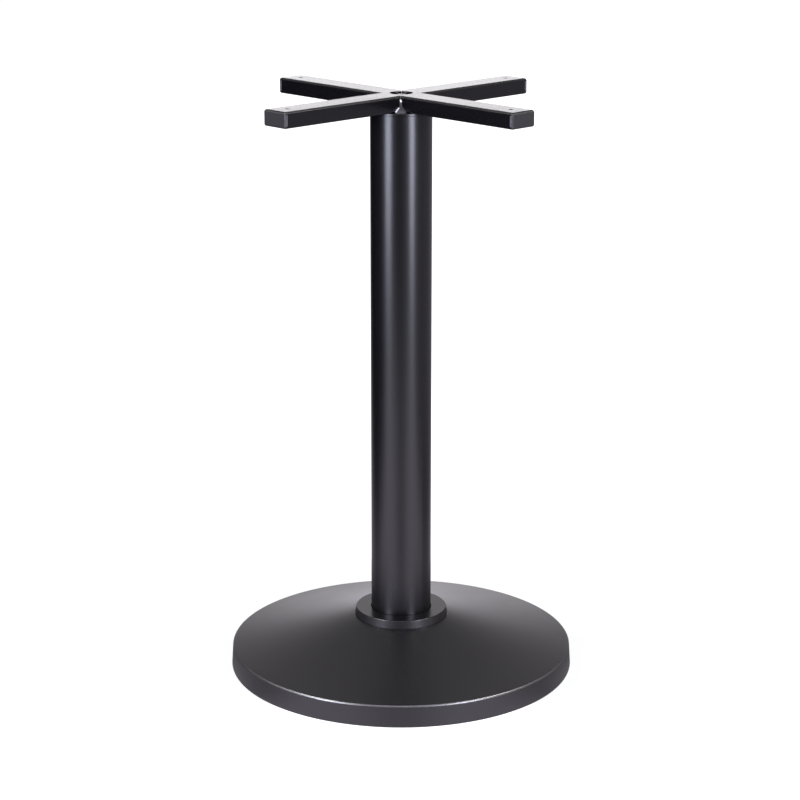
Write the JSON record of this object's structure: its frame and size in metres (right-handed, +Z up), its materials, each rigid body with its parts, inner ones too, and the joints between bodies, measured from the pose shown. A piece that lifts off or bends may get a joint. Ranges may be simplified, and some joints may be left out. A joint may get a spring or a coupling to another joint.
{
  "type": "four star table base",
  "caption": "Pedestal table base: round domed cast foot, steel column and a cross-shaped spider of folded arms that carries the tabletop.",
  "frame": {"origin": "on the floor, below the centre of the foot", "axes": "+Z up along the column; the arms lie along the X and Y axes"},
  "size_m": [0.4308, 0.4308, 0.726],
  "materials": {
    "powder_coated_casting": "black satin powder coat",
    "powder_coated_steel": "black satin powder coat",
    "coated_welds": "black powder coat over weld metal",
    "zinc_plated_steel": "zinc plated",
    "glide_nylon": "matt black nylon"
  },
  "bodies": {
    "root": {"base_casting": "powder_coated_casting", "foot_collar": "powder_coated_steel", "column_tube": "powder_coated_steel", "hub_plate": "powder_coated_steel", "arm_right": "powder_coated_steel", "arm_back": "powder_coated_steel", "arm_left": "powder_coated_steel", "arm_front": "powder_coated_steel", "corner_welds": "coated_welds", "end_tab_welds": "coated_welds", "tie_rod": "zinc_plated_steel", "top_washer": "zinc_plated_steel", "top_lock_washer": "zinc_plated_steel", "top_nut": "zinc_plated_steel", "bottom_washer": "zinc_plated_steel", "bottom_lock_washer": "zinc_plated_steel", "bottom_nut": "zinc_plated_steel", "glide_1": "glide_nylon", "glide_2": "glide_nylon", "glide_3": "glide_nylon", "glide_4": "glide_nylon", "glide_screws": "zinc_plated_steel"}
  },
  "joints": []
}
